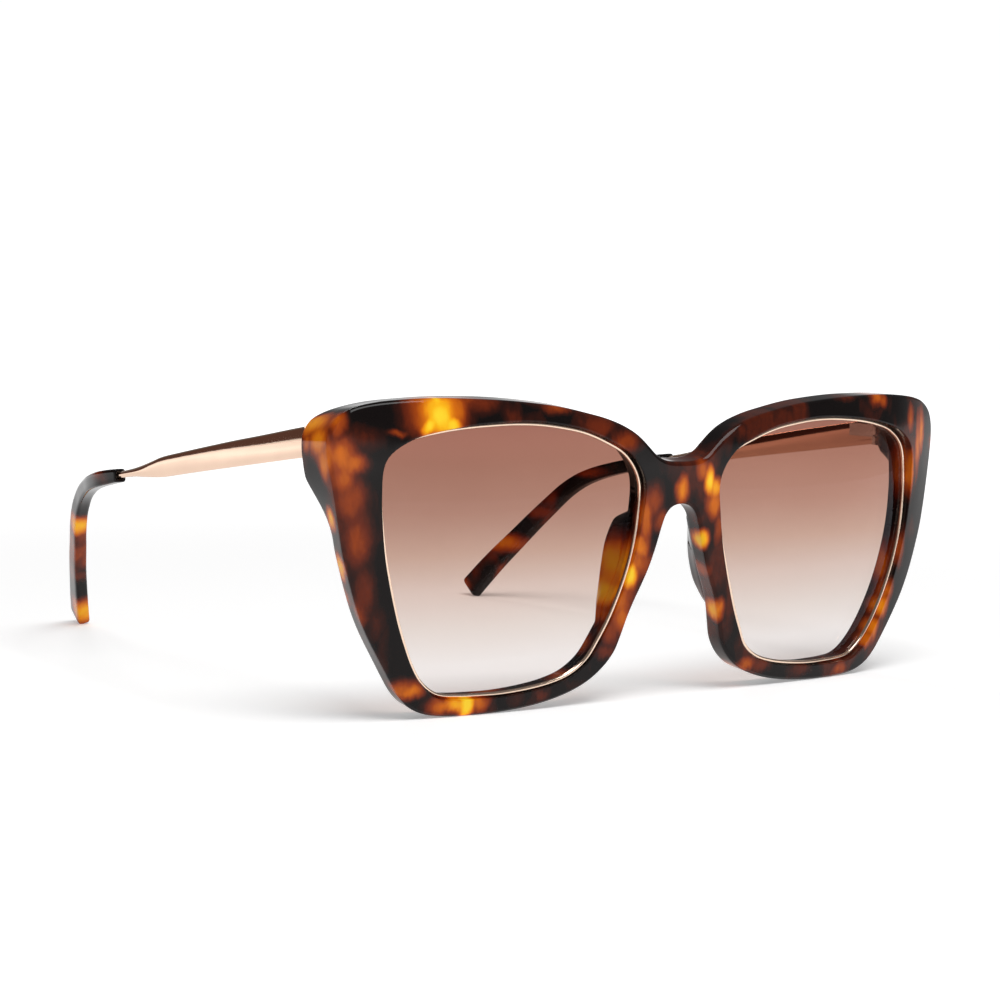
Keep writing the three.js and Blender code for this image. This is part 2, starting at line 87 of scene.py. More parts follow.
EDGE = [
  [0, 19.55], [2.4, 19.6], [4.4, 19.95], [6.3, 20.9], [8.1, 22.5], [9.8, 23.95], [11.4, 25.05],
  [13.4, 26.05], [15.6, 26.9], [18.6, 27.8], [21.8, 28.5], [25.2, 29.2], [29, 29.85], [33, 30.3],
  [37.6, 30.7], [42, 30.95], [46.5, 31.1], [51, 31.2], [55.5, 31.1], [60, 30.75], [64.2, 30.2],
  [67.6, 29.3], [70.2, 27.6], [71.5, 25.2], [71.75, 22.3], [71.3, 19.2], [70.6, 15.4], [70.0, 11.8],
  [69.4, 8.2], [68.7, 4.5], [67.7, 1], [66.6, -2.5], [65.3, -6], [63.8, -9.2], [62.0, -12.3],
  [60.2, -15.2], [58.5, -17.9], [56.8, -20.4], [54.7, -22.4], [52, -23.6], [48.8, -24.1],
  [45, -24.25], [41, -24.25], [37, -24.1], [33, -23.8], [29.3, -23.35], [25.5, -22.6],
  [21.8, -21.5], [18.3, -19.9], [15.3, -17.6], [13.1, -14.8], [12.0, -11.6], [11.0, -8.2],
  [9.8, -5.2], [8.4, -2.3], [7.1, 0.6], [6.1, 3.4], [5.3, 6.0], [4.6, 8.4], [3.7, 10.6],
  [2.2, 12.0], [0, 12.45]]
RING = [
  23.0, 24.36, 26.25, 28.99, 32.11, 31.38, 29.53, 28.14, 27.33, 27.16, 27.47, 28.2,
  29.5, 30.98, 32.78, 32.74, 29.88, 27.58, 25.87, 24.76, 24.25, 24.14, 24.51, 23.88,
  22.58, 21.53, 20.98, 20.95, 21.33, 22.37, 23.82, 23.76, 22.95, 22.27, 22.06, 22.26]
PAD = [
  [10.8, 5.2, 8.6, 7.2, 7.6], [9.4, 5.5, 9.7, 8.2, 8.7], [7.7, 6.0, 10.3, 9.1, 9.6],
  [4, 7.1, 10.7, 10.0, 10.15], [0, 8.4, 11.4, 10.6, 9.95], [-4, 10.0, 12.8, 11.5, 9.0],
  [-7, 11.4, 14.1, 12.7, 7.6], [-9.4, 12.4, 15.1, 13.7, 6.6], [-10.9, 13.1, 15.6, 14.4, 6.25]]
TEMPLE = [
  [17.2, 69.95, 26.36, 21.01, 1.25], [22, 70.0, 25.55, 20.3, 1.25], [32, 70.0, 23.8, 18.8, 1.25],
  [42, 70.0, 22.1, 17.3, 1.25], [52, 70.0, 20.3, 15.8, 1.25], [62, 70.0, 18.45, 14.25, 1.25],
  [69, 70.0, 17.1, 13.15, 1.3], [73, 70.0, 16.0, 12.75, 1.35], [77, 70.0, 14.9, 12.45, 1.4],
  [81, 70.05, 13.9, 12.2, 1.4], [85, 70.1, 13.1, 11.7, 1.4], [88, 70.15, 12.55, 11.15, 1.4],
  [92, 70.3, 11.85, 10.45, 1.4], [95, 70.3, 11.3, 9.9, 1.4]]
TIP = [
  [70.1, 87.2, 11.95, 2.6, 2.5], [70.3, 91, 11.3, 2.9, 2.7], [70.3, 95, 10.55, 3.05, 2.8],
  [69.4, 100, 9.5, 3.05, 2.8], [68.0, 105, 8.25, 3.1, 2.75], [66.5, 110, 6.6, 3.25, 2.75],
  [65.2, 114, 4.7, 3.45, 2.75], [63.9, 118, 1.9, 3.7, 2.75], [62.3, 122, -2.0, 4.0, 2.75],
  [60.4, 126, -6.3, 4.35, 2.75], [58.5, 130, -10.8, 4.7, 2.75], [56.4, 134, -15.4, 5.15, 2.75],
  [54.6, 137.3, -19.5, 5.55, 2.75], [52.85, 140.3, -23.55, 5.8, 2.75]]


def mix(a, b, t):
    return a + (b - a) * t


def smooth(a, b, x):
    t = np.clip((np.asarray(x, float) - a) / (b - a), 0, 1)
    return t * t * (3 - 2 * t)


def front_depth(x, v):
    return SURF[0] + SURF[1] * x * x + SURF[2] * x ** 4 + SURF[3] * v + SURF[4] * v * v + SURF[5] * x * x * v


def lean(c):
    x, v, w = c[..., 0], c[..., 1], c[..., 2]
    ct, st = math.cos(FRONT_TILT), math.sin(FRONT_TILT)
    return np.stack([x, w * ct - v * st, w * st + v * ct], -1)


def level(p):
    cp, sp = math.cos(REST_PITCH), math.sin(REST_PITCH)
    return np.stack([p[..., 0], p[..., 1] * cp - p[..., 2] * sp, p[..., 1] * sp + p[..., 2] * cp], -1)


def place(p):
    """glasses' own axes (after levelling) -> part frame, still mm"""
    return p + np.array([0.0, SHIFT_Y, -REST_Z])


def spline(pts, per, closed):
    pts = np.asarray(pts, float)
    n = len(pts)
    out = []
    for i in range(n if closed else n - 1):
        if closed:
            p0, p1, p2, p3 = pts[(i - 1) % n], pts[i], pts[(i + 1) % n], pts[(i + 2) % n]
        else:
            p0, p1, p2, p3 = pts[max(0, i - 1)], pts[i], pts[min(n - 1, i + 1)], pts[min(n - 1, i + 2)]
        for j in range(per):
            t = j / per
            out.append(0.5 * (2 * p1 + (p2 - p0) * t + (2 * p0 - 5 * p1 + 4 * p2 - p3) * t * t + (3 * p1 - p0 - 3 * p2 + p3) * t ** 3))
    if not closed:
        out.append(pts[-1].copy())
    return np.array(out)


def even(pts, count):
    p = np.vstack([pts, pts[:1]])
    s = np.r_[0, np.cumsum(np.linalg.norm(np.diff(p, axis=0), axis=1))]
    q = np.linspace(0, s[-1], count, endpoint=False)
    return np.stack([np.interp(q, s, p[:, k]) for k in range(p.shape[1])], 1)


def fair(pts, spread):
    """light smoothing of a closed, evenly spaced line"""
    n = len(pts)
    step = np.linalg.norm(np.roll(pts, -1, 0) - pts, axis=1).mean()
    k = int(4 * spread / step) + 1
    w = np.exp(-0.5 * (np.arange(-k, k + 1) * step / spread) ** 2)
    w /= w.sum()
    def blur(q):
        return sum(w[j + k] * np.roll(q, -j, 0) for j in range(-k, k + 1))
    a = blur(pts)
    return a + (pts - a) - blur(pts - a)   # two-pass filter, keeps the corners' size


def normals2(pts):
    a, b = np.roll(pts, 1, 0), np.roll(pts, -1, 0)
    d = b - a
    return np.stack([d[:, 1], -d[:, 0]], 1) / np.linalg.norm(d, axis=1)[:, None]


def offset(pts, d):
    return pts + normals2(pts) * (np.asarray(d)[..., None] if np.ndim(d) else d)


# ---------------------------------------------------------------- shared lines
OPEN_N = 300
OUT_N = 800
ring_line = fair(even(spline([[r * math.cos(i * 10 * DEG), r * math.sin(i * 10 * DEG)] for i, r in enumerate(RING)], 12, True), OPEN_N), 0.9)
half = [list(p) for p in EDGE]
full = half + [[-x, v] for x, v in half[1:-1][::-1]]
full.reverse()
full = [full[-1]] + full[:-1]
outline = fair(even(spline(full, 8, True), OUT_N), 0.9)


def sag(u, v):
    return (u * u + v * v) / (2 * LENS_RADIUS)


def lens_chart(u, v, w):
    return np.stack([LENS_CENTRE_X + u * math.cos(LENS_WRAP) - w * math.sin(LENS_WRAP), v, u * math.sin(LENS_WRAP) + w * math.cos(LENS_WRAP)], -1)


def lens_loop(off, w):
    p = offset(ring_line, off)
    return lens_chart(p[:, 0], p[:, 1], sag(p[:, 0], p[:, 1]) + w)


def front_loop(off, sink=0.0):
    p = offset(ring_line, off)
    u, v = p[:, 0], p[:, 1]
    w = sag(u, v)
    for _ in range(10):
        c = lens_chart(u, v, w)
        w = w + (front_depth(c[:, 0], v) + sink - c[:, 2]) / math.cos(LENS_WRAP)
    return lens_chart(u, v, w)


def end_weight(x, v):
    return smooth(60, 69.5, np.abs(x)) * smooth(6, 19, v)


def nose_weight(x, v):
    return smooth(19, 9, np.abs(x)) * smooth(1, 3, np.abs(x)) * smooth(13.5, 9, v)


def back_dir(x, v):
    h = 0.01
    gx = (front_depth(x + h, v) - front_depth(x - h, v)) / (2 * h)
    e, n = end_weight(x, v), nose_weight(x, v)
    d = np.stack([-gx * mix(SIDE_LEAN, 0.12, e) + np.sign(x) * NOSE_SPLAY * n, -END_DROP * e - 0.10 * smooth(40, 62, np.abs(x)) * smooth(22, 28, v), np.ones_like(x)], -1)
    return d / np.linalg.norm(d, axis=-1)[..., None]


def rim_depth(x, v):
    return mix(RIM_DEPTH, END_REACH, end_weight(x, v))


def edge_loop(off, depth_of):
    p = offset(outline, off)
    x, v = p[:, 0], p[:, 1]
    d = back_dir(x, v)
    t = depth_of(x, v) if callable(depth_of) else np.full(len(x), float(depth_of))
    return np.stack([x + d[:, 0] * t, v + d[:, 1] * t, front_depth(x, v) + d[:, 2] * t], -1)


def inside(poly, pts):
    x, y = pts[:, 0][:, None], pts[:, 1][:, None]
    a, b = poly, np.roll(poly, -1, 0)
    ax, ay, bx, by = a[:, 0], a[:, 1], b[:, 0], b[:, 1]
    out = np.zeros(len(pts), bool)
    for k in range(0, len(pts), 2000):
        X, Y = x[k:k + 2000], y[k:k + 2000]
        with np.errstate(all="ignore"):
            cross = ((ay > Y) != (by > Y)) & (X < (bx - ax) * (Y - ay) / (by - ay) + ax)
        out[k:k + 2000] = cross.sum(1) % 2 == 1
    return out


def near(poly, pts, gap):
    out = np.zeros(len(pts), bool)
    for k in range(0, len(pts), 2000):
        d = ((pts[k:k + 2000, None] - poly[None]) ** 2).sum(-1)
        out[k:k + 2000] = d.min(1) < gap * gap
    return out


def fill(outer, holes, step):
    """triangles over a flat region: returns points (the loops' own first) and triangles"""
    lo, hi = outer.min(0), outer.max(0)
    xs = np.arange(lo[0], hi[0], step)
    ys = np.arange(lo[1], hi[1], step * 0.866)
    g = np.array([(x + (0.5 * step if j % 2 else 0), y) for j, y in enumerate(ys) for x in xs])
    keep = inside(outer, g)
    for h in holes:
        keep &= ~inside(h, g)
    g = g[keep]
    for l in [outer] + holes:
        g = g[~near(l, g, step * 0.62)]
    loops = [outer] + holes
    base = np.vstack(loops)
    edges, s = [], 0
    for l in loops:
        n = len(l)
        edges += [(s + i, s + (i + 1) % n) for i in range(n)]
        s += n
    pts = np.vstack([base, g])
    v2, _, f2, orig, _, _ = delaunay_2d_cdt([Vector((float(a), float(b))) for a, b in pts], edges, [], 0, 1e-7)
    back = [o[0] if o else -1 for o in orig]
    tri = np.array([[back[i] for i in f] for f in f2 if len(f) == 3])
    tri = tri[(tri >= 0).all(1)]
    c = pts[tri].mean(1)
    ok = inside(outer, c)
    for h in holes:
        ok &= ~inside(h, c)
    tri = tri[ok]
    a, b, c = pts[tri[:, 0]], pts[tri[:, 1]], pts[tri[:, 2]]
    area = (b[:, 0] - a[:, 0]) * (c[:, 1] - a[:, 1]) - (b[:, 1] - a[:, 1]) * (c[:, 0] - a[:, 0])
    tri[area < 0] = tri[area < 0][:, ::-1]
    return pts, tri


class Build:
    """collects points (mm, part frame) and faces of one mesh"""
    def __init__(self):
        self.v, self.f, self.n = [], [], 0

    def add(self, pts):
        s = self.n
        self.v.append(np.asarray(pts, float))
        self.n += len(pts)
        return s

    def strip(self, a, b, n, flip=False):
        for i in range(n):
            j = (i + 1) % n
            q = (a + i, a + j, b + j, b + i)
            self.f.append(q[::-1] if flip else q)

    def faces(self, tri, shift=0, flip=False):
        for t in tri:
            q = tuple(int(i) + shift for i in t)
            self.f.append(q[::-1] if flip else q)

    def mesh(self, name, weld=2e-4, mirror=False):
        v = np.vstack(self.v) * 0.001
        if mirror:
            v = v * np.array([-1.0, 1, 1])
        me = bpy.data.meshes.new(name)
        me.from_pydata([tuple(p) for p in v], [], [tuple(int(i) for i in f) for f in self.f])
        bm = bmesh.new()
        bm.from_mesh(me)
        bmesh.ops.remove_doubles(bm, verts=bm.verts, dist=weld * 0.001)
        bmesh.ops.recalc_face_normals(bm, faces=bm.faces)
        bm.to_mesh(me)
        bm.free()
        for p in me.polygons:
            p.use_smooth = True
        o = bpy.data.objects.new(name, me)
        bpy.context.scene.collection.objects.link(o)
        return o


def weighted(o, sharp=None):
    if sharp is not None:
        o.data.set_sharp_from_angle(angle=sharp * DEG)
    m = o.modifiers.new("normals", "WEIGHTED_NORMAL")
    m.weight = 60
    m.keep_sharp = True
    return o


# ------------------------------------------------------------------- materials
def hexlin(r, g, b):
    return tuple((c / 255 / 12.92 if c / 255 <= 0.04045 else ((c / 255 + 0.055) / 1.055) ** 2.4) for c in (r, g, b))


class Nodes:
    def __init__(self, name):
        self.m = bpy.data.materials.new(name)
        self.m.use_nodes = True
        self.t = self.m.node_tree
        self.b = self.t.nodes["Principled BSDF"]
        self.out = self.t.nodes["Material Output"]

    def new(self, kind, **kw):
        n = self.t.nodes.new(kind)
        for k, v in kw.items():
            if k.startswith("i_"):
                n.inputs[int(k[2:])].default_value = v
            else:
                setattr(n, k, v)
        return n

    def link(self, a, b):
        self.t.links.new(a, b)

    def math(self, op, a, b=None, clamp=False):
        n = self.new("ShaderNodeMath", operation=op, use_clamp=clamp)
        for i, s in enumerate((a, b)):
            if s is None:
                continue
            if isinstance(s, (int, float)):
                n.inputs[i].default_value = s
            else:
                self.link(s, n.inputs[i])
        return n.outputs[0]

    def vmath(self, op, a, b=None):
        n = self.new("ShaderNodeVectorMath", operation=op)
        for i, s in enumerate((a, b)):
            if s is None:
                continue
            if isinstance(s, (tuple, list)):
                n.inputs[i].default_value = s
            else:
                self.link(s, n.inputs[i])
        return n.outputs["Value"] if op in ("LENGTH", "DOT_PRODUCT") else n.outputs[0]

    def mm(self):
        """object coordinates in millimetres"""
        c = self.new("ShaderNodeTexCoord")
        return self.vmath("MULTIPLY", c.outputs["Object"], (1000.0, 1000.0, 1000.0))

    def noise(self, vec, scale, detail=2.0, rough=0.5, color=False, distortion=0.0):
        n = self.new("ShaderNodeTexNoise")
        n.inputs["Scale"].default_value = scale
        n.inputs["Detail"].default_value = detail
        n.inputs["Roughness"].default_value = rough
        n.inputs["Distortion"].default_value = distortion
        self.link(vec, n.inputs["Vector"])
        return n.outputs["Color"] if color else n.outputs["Fac"]

    def ramp(self, fac, stops, interp="LINEAR"):
        n = self.new("ShaderNodeValToRGB")
        r = n.color_ramp
        r.interpolation = interp
        while len(r.elements) > 1:
            r.elements.remove(r.elements[-1])
        for i, (p, c) in enumerate(stops):
            e = r.elements[0] if i == 0 else r.elements.new(p)
            e.position = p
            e.color = (*c, 1.0) if not isinstance(c, (int, float)) else (c, c, c, 1.0)
        self.link(fac, n.inputs[0])
        return n.outputs[0]

    def bump(self, height, strength, distance):
        n = self.new("ShaderNodeBump")
        n.inputs["Strength"].default_value = strength
        n.inputs["Distance"].default_value = distance
        self.link(height, n.inputs["Height"])
        self.link(n.outputs[0], self.b.inputs["Normal"])


TORT = [(0.0, (0.0030, 0.0022, 0.0024)), (0.20, (0.0060, 0.0036, 0.0034)), (0.32, (0.034, 0.007, 0.004)),
        (0.44, (0.14, 0.019, 0.005)), (0.56, (0.33, 0.052, 0.005)), (0.68, (0.62, 0.14, 0.005)),
        (0.80, (0.86, 0.29, 0.007)), (0.90, (0.97, 0.48, 0.010)), (1.0, (1.0, 0.68, 0.03))]


def tortoise(name, blobs, base_low=0.05, base_high=0.36, warp=1.5, seed=0.0, patch_scale=0.06):
    """acetate sheet pattern: named patches at fixed places, their edges stirred by noise, over a dark
    ground with faint brown clouds"""
    k = Nodes(name)
    p = k.mm()
    shifted = k.vmath("ADD", p, (seed, seed * 1.7, -seed))
    n1 = k.noise(k.vmath("MULTIPLY", shifted, (1.0, 0.8, 0.55)), 0.22, 3.0, 0.55, color=True)
    w = k.vmath("MULTIPLY", k.vmath("SUBTRACT", n1, (0.5, 0.5, 0.5)), (warp * 1.6, warp * 1.6, warp * 2.6))
    q = k.vmath("ADD", p, w)
    total = None
    for (x, y, z, rx, ry, rz, h) in blobs:
        d = k.vmath("LENGTH", k.vmath("MULTIPLY", k.vmath("SUBTRACT", q, (x, y, z)), (1 / rx, 1 / ry, 1 / rz)))
        n = k.new("ShaderNodeMapRange", interpolation_type="SMOOTHSTEP")
        n.inputs["From Min"].default_value = 1.7
        n.inputs["From Max"].default_value = 0.1
        n.inputs["To Min"].default_value = 0.0
        n.inputs["To Max"].default_value = h
        k.link(d, n.inputs["Value"])
        if total is None:
            total = n.outputs[0]
        else:
            s = k.new("ShaderNodeMath", operation="SMOOTH_MAX")
            k.link(total, s.inputs[0])
            k.link(n.outputs[0], s.inputs[1])
            s.inputs[2].default_value = 0.16
            total = s.outputs[0]
    cloud = k.noise(k.vmath("MULTIPLY", k.vmath("ADD", q, (seed * 3, 11.0, seed)), (1.0, 0.6, 0.6)), patch_scale, 3.0, 0.6)
    ground = k.ramp(cloud, [(0.43, base_low), (0.59, base_high)], "EASE")
    f = k.math("MAXIMUM", total, ground) if total is not None else ground
    fine = k.noise(k.vmath("MULTIPLY", q, (1.0, 1.0, 0.5)), 0.9, 2.0, 0.5)
    f = k.math("ADD", f, k.math("MULTIPLY", k.math("SUBTRACT", fine, 0.5), 0.09), clamp=True)
    k.link(k.ramp(f, TORT), k.b.inputs["Base Color"])
    k.b.inputs["Roughness"].default_value = 0.07
    k.b.inputs["IOR"].default_value = 1.49
    k.b.inputs["Specular IOR Level"].default_value = 0.18
    # hand polishing leaves the surface very slightly uneven
    hz = k.noise(p, 0.16, 1.0, 0.5)
    k.bump(hz, 0.35, 0.00010)
    return k.m


FRONT_PATCHES = [
(-53.1, -69.8, 52.4, 3.6, 4.2, 4.2, 1.0), (-53.3, -69.1, 55.9, 1.6, 4.2, 4.2, 0.93), (-55.0, -69.6, 51.0, 2.4, 4.2, 2.3, 0.98), (-50.9, -70.2, 51.2, 2.4, 4.2, 2.3, 0.98),
(-53.5, -69.7, 53.9, 7.2, 4.2, 6.5, 0.74), (-56.3, -68.1, 55.9, 4.0, 4.2, 3.9, 0.6), (-47.3, -69.1, 55.9, 4.0, 4.2, 3.9, 0.5), (-45.0, -70.7, 55.1, 6.4, 4.2, 2.6, 0.42),
(-33.1, -68.9, 55.1, 8.0, 4.2, 2.3, 0.38), (-28.9, -71.0, 54.2, 4.8, 4.2, 1.9, 0.52), (-19.8, -71.6, 51.0, 5.6, 4.2, 3.2, 0.44), (-13.9, -71.7, 47.9, 4.8, 4.2, 3.2, 0.5),
(-60.5, -68.3, 50.0, 2.4, 4.2, 1.0, 0.52), (-70.5, -64.5, 52.1, 2.0, 4.2, 5.8, 0.6), (-69.9, -65.3, 45.8, 3.6, 4.2, 3.9, 0.66), (-68.1, -66.0, 44.5, 3.2, 4.2, 2.3, 0.64),
(-66.6, -66.5, 48.8, 6.4, 4.2, 3.9, 0.36), (-68.3, -65.8, 38.7, 4.4, 4.2, 5.8, 0.52), (-66.6, -65.5, 31.8, 3.6, 4.2, 7.1, 0.52), (-65.1, -65.6, 23.3, 2.8, 4.2, 5.8, 0.42),
(-62.9, -65.6, 17.7, 2.4, 4.2, 4.5, 0.36), (-69.4, -61.5, 35.2, 2.6, 2.7, 2.9, 0.86), (-67.6, -62.2, 26.9, 2.6, 2.7, 3.2, 0.88), (-65.8, -64.6, 19.5, 2.6, 2.7, 3.9, 0.5),
(-70.6, -57.3, 51.6, 2.6, 7.6, 3.9, 0.8), (-71.6, -57.0, 48.0, 2.6, 2.2, 2.9, 0.62), (-71.8, -63.6, 45.7, 2.6, 2.7, 5.2, 0.66), (-55.3, -65.5, 5.0, 3.2, 4.2, 1.9, 0.7),
(-49.4, -66.1, 2.0, 3.2, 4.2, 2.6, 0.64), (-44.1, -66.7, 1.8, 2.0, 4.2, 2.9, 1.0), (-41.7, -66.9, 2.0, 3.2, 4.2, 2.6, 0.66), (-34.2, -67.4, 2.2, 2.8, 4.2, 2.3, 0.32),
(-28.6, -67.7, 2.8, 2.8, 4.2, 2.3, 0.38), (-8.5, -71.6, 34.0, 2.0, 4.2, 5.8, 0.64), (-9.5, -71.4, 29.1, 2.4, 4.2, 3.9, 0.7), (-11.3, -70.9, 23.1, 2.0, 4.2, 3.2, 0.98),
(-10.0, -68.9, 25.7, 2.8, 4.2, 5.8, 0.74), (-12.8, -70.4, 18.8, 3.2, 4.2, 5.2, 0.62), (-14.6, -69.6, 13.3, 2.8, 4.2, 3.9, 0.5), (-6.8, -71.7, 37.2, 2.8, 4.2, 4.5, 0.52),
(-15.3, -69.0, 9.6, 3.6, 4.2, 2.3, 0.42), (-0.2, -71.7, 39.2, 2.0, 4.2, 3.9, 0.74), (6.2, -71.7, 40.8, 1.6, 4.2, 3.6, 0.98), (4.3, -71.7, 42.7, 2.4, 4.2, 2.9, 0.62),
(7.4, -71.7, 36.3, 2.8, 4.2, 4.2, 0.68), (8.7, -71.5, 31.4, 1.6, 4.2, 5.2, 0.52), (-4.9, -71.6, 33.1, 2.8, 4.2, 2.9, 0.52), (5.5, -70.3, 29.2, 1.6, 4.2, 2.3, 0.95),
(11.1, -67.8, 15.9, 1.6, 4.2, 2.9, 0.86), (7.9, -68.6, 23.3, 2.0, 4.2, 2.9, 0.56), (23.5, -68.0, 4.3, 4.0, 4.2, 2.6, 0.42), (34.6, -67.4, 2.2, 4.8, 4.2, 2.3, 0.38),
(55.3, -66.0, 8.9, 2.0, 4.2, 4.5, 0.72), (58.6, -66.2, 16.4, 2.0, 4.2, 3.9, 0.62), (61.2, -66.8, 25.3, 2.0, 4.2, 5.8, 0.52), (65.0, -67.1, 45.5, 1.6, 4.2, 8.4, 0.66),
(63.1, -67.6, 40.2, 1.2, 4.2, 6.5, 0.66), (52.4, -69.5, 55.0, 2.0, 4.2, 2.3, 0.58), (41.5, -69.4, 55.6, 5.2, 4.2, 1.6, 0.38), (13.9, -71.6, 49.2, 2.8, 4.2, 3.9, 0.36),
(-11.2, -65.3, 23.0, 4.2, 5.7, 4.2, 0.8), (-11.6, -64.6, 17.3, 3.0, 4.1, 2.9, 0.84), (-9.8, -65.7, 29.4, 4.2, 5.7, 3.2, 0.56), (-71.8, -60.9, 48.6, 2.6, 4.3, 4.5, 0.74),
(-71.6, -62.7, 45.0, 2.6, 3.3, 4.5, 0.7), (-69.7, -65.4, 42.5, 3.2, 4.2, 4.5, 0.6), (-53.6, -69.7, 53.9, 4.8, 4.2, 4.5, 0.9), (-50.2, -70.1, 54.2, 3.2, 4.2, 3.9, 0.66),
(50.4, -69.6, 55.8, 3.2, 4.2, 2.3, 0.62), (62.0, -66.7, 50.9, 2.0, 4.2, 3.9, 0.62), (66.4, -66.5, 48.5, 1.6, 4.2, 5.8, 0.7), (57.3, -66.0, 13.3, 2.4, 4.2, 3.9, 0.78),
(53.7, -66.0, 6.6, 2.4, 4.2, 2.6, 0.66), (-37.9, -62.4, 3.5, 5.6, 4.2, 1.9, 0.6), (-46.3, -66.5, 2.4, 2.8, 4.2, 2.3, 0.86), (-57.3, -65.3, 5.6, 4.8, 4.2, 2.6, 0.62),
(7.7, -71.7, 39.3, 2.0, 4.2, 2.6, 0.84), (-12.3, -69.9, 15.4, 2.8, 4.2, 3.9, 0.64), (-10.8, -65.6, 25.8, 6.0, 8.1, 5.2, 0.9), (-12.2, -64.9, 20.3, 4.8, 6.5, 4.5, 0.94),
(-12.4, -64.5, 16.2, 4.2, 5.7, 3.2, 0.8), (64.0, -62.0, 49.0, 2.0, 5.0, 2.2, 0.70), (71.0, -60.5, 46.0, 2.4, 5.6, 3.0, 0.80), (70.5, -60.0, 37.0, 2.4, 3.6, 2.4, 0.84),
(67.5, -60.5, 28.0, 2.4, 3.6, 2.4, 0.80), (50.0, -66.0, 54.5, 4.0, 5.0, 2.6, 0.72), (-50.0, -63.5, 55.5, 5.0, 3.0, 2.6, 0.72), (30.0, -64.0, 54.0, 5.0, 4.0, 2.0, 0.60),
(12.6, -64.5, 24.0, 1.8, 4.0, 3.6, 0.86), (9.5, -64.5, 33.0, 2.2, 4.0, 3.0, 0.74), (-66.0, -60.0, 22.0, 2.4, 4.0, 3.0, 0.60), (20.0, -65.0, 5.0, 3.4, 5.0, 2.2, 0.80),
(-30.0, -64.5, 2.0, 4.0, 3.0, 2.2, 0.60), (46.0, -64.0, 2.0, 4.0, 4.0, 2.2, 0.70), (0.0, -66.5, 41.0, 4.0, 2.4, 3.0, 0.66),
(63.0, -64.5, 42.0, 2.2, 3.0, 9.0, 0.66), (59.5, -63.5, 24.0, 2.2, 3.0, 9.0, 0.72), (-15.5, -64.5, 9.0, 3.0, 3.0, 5.0, 0.70), (-22.0, -65.0, 4.5, 5.0, 3.0, 2.4, 0.60),
(-46.8, -66.4, 2.4, 6.0, 4.2, 2.4, 0.72), (-44.3, -66.7, 2.7, 2.6, 4.2, 2.6, 1.0)
]
TIP_PATCHES = [
(56.2, 61.8, 13.8, 8.0, 10.8, 2.9, 0.74), (60.3, 51.6, 21.9, 5.6, 7.6, 2.3, 0.52), (64.8, 40.5, 32.6, 7.2, 9.8, 1.9, 0.54), (-63.8, 47.7, 23.8, 5.0, 5.0, 3.5, 0.88),
(-54.0, 65.0, 3.0, 5.0, 5.0, 4.7, 0.86), (-71.3, 23.6, 37.1, 5.0, 5.0, 2.7, 0.46), (-58.4, 58.0, 12.1, 5.0, 5.0, 1.9, 0.4), (66.0, 34.0, 29.2, 3.0, 5.0, 2.0, 0.50),
(53.0, 70.5, 2.4, 4.0, 3.6, 2.6, 0.62), (-70.0, 20.0, 36.0, 3.0, 3.0, 2.0, 0.44)
]
acetate = tortoise("tortoise acetate", FRONT_PATCHES)
acetate_tip = tortoise("tortoise acetate tips", TIP_PATCHES, seed=31.0, base_high=0.50, warp=0.9)


def metal(name, color, rough, fine=0.0):
    k = Nodes(name)
    p = k.mm()
    n = k.noise(k.vmath("MULTIPLY", p, (1.0, 0.12, 1.0)), 1.6, 3.0, 0.6)
    var = k.noise(p, 0.10, 2.0, 0.5)
    a, b = tuple(c * 0.95 for c in color), tuple(min(1, c * 1.04) for c in color)
    k.link(k.ramp(var, [(0.3, a), (0.7, b)]), k.b.inputs["Base Color"])
    k.b.inputs["Metallic"].default_value = 1.0
    r = k.ramp(n, [(0.3, rough * 0.8), (0.7, rough * 1.25)])
    k.link(r, k.b.inputs["Roughness"])
    k.bump(n, 0.25, fine)
    return k.m


gold = metal("rose gold plating", (0.92, 0.66, 0.50), 0.10, 0.000012)
gold_blade = metal("rose gold temple", (0.87, 0.63, 0.48), 0.06, 0.00001)
gold_ring = metal("rose gold trim", (0.95, 0.72, 0.56), 0.16, 0.00001)
steel = metal("hinge nickel silver", (0.72, 0.68, 0.63), 0.22, 0.00001)


def lens_material():
    """plastic lens with a brown tint that fades towards the bottom"""
    k = Nodes("gradient lens")
    p = k.mm()
    sep = k.new("ShaderNodeSeparateXYZ")
    k.link(p, sep.inputs[0])
    dust = k.noise(p, 0.05, 1.0, 0.5)
    z = k.math("ADD", sep.outputs[2], k.math("MULTIPLY", k.math("SUBTRACT", dust, 0.5), 1.5))
    f = k.math("MULTIPLY", k.math("SUBTRACT", z, 2.0), 1 / 52.0, clamp=True)
    # each of the two faces passes the square root of the whole tint
    stops = [(0.0, (0.82, 0.78, 0.765)), (0.14, (0.845, 0.795, 0.775)), (0.26, (0.775, 0.685, 0.638)), (0.40, (0.70, 0.545, 0.482)), (0.52, (0.575, 0.375, 0.30)), (0.66, (0.42, 0.225, 0.17)), (0.82, (0.30, 0.140, 0.102)), (1.0, (0.24, 0.10, 0.075))]
    tint = k.ramp(f, [(s, tuple(math.sqrt(c) for c in col)) for s, col in stops])
    tr = k.new("ShaderNodeBsdfTransparent")
    k.link(tint, tr.inputs["Color"])
    gl = k.new("ShaderNodeBsdfGlossy")
    gl.inputs["Roughness"].default_value = 0.02
    gl.inputs["Color"].default_value = (0.75, 0.78, 0.85, 1)
    lw = k.new("ShaderNodeLayerWeight")
    lw.inputs["Blend"].default_value = 0.5
    fr = k.math("ADD", k.math("MULTIPLY", k.math("POWER", lw.outputs["Facing"], 5.0), 0.55), 0.004)
    mx = k.new("ShaderNodeMixShader")
    k.link(fr, mx.inputs[0])
    k.link(tr.outputs[0], mx.inputs[1])
    k.link(gl.outputs[0], mx.inputs[2])
    k.link(mx.outputs[0], k.out.inputs["Surface"])
    k.t.nodes.remove(k.b)
    return k.m


lens_mat = lens_material()


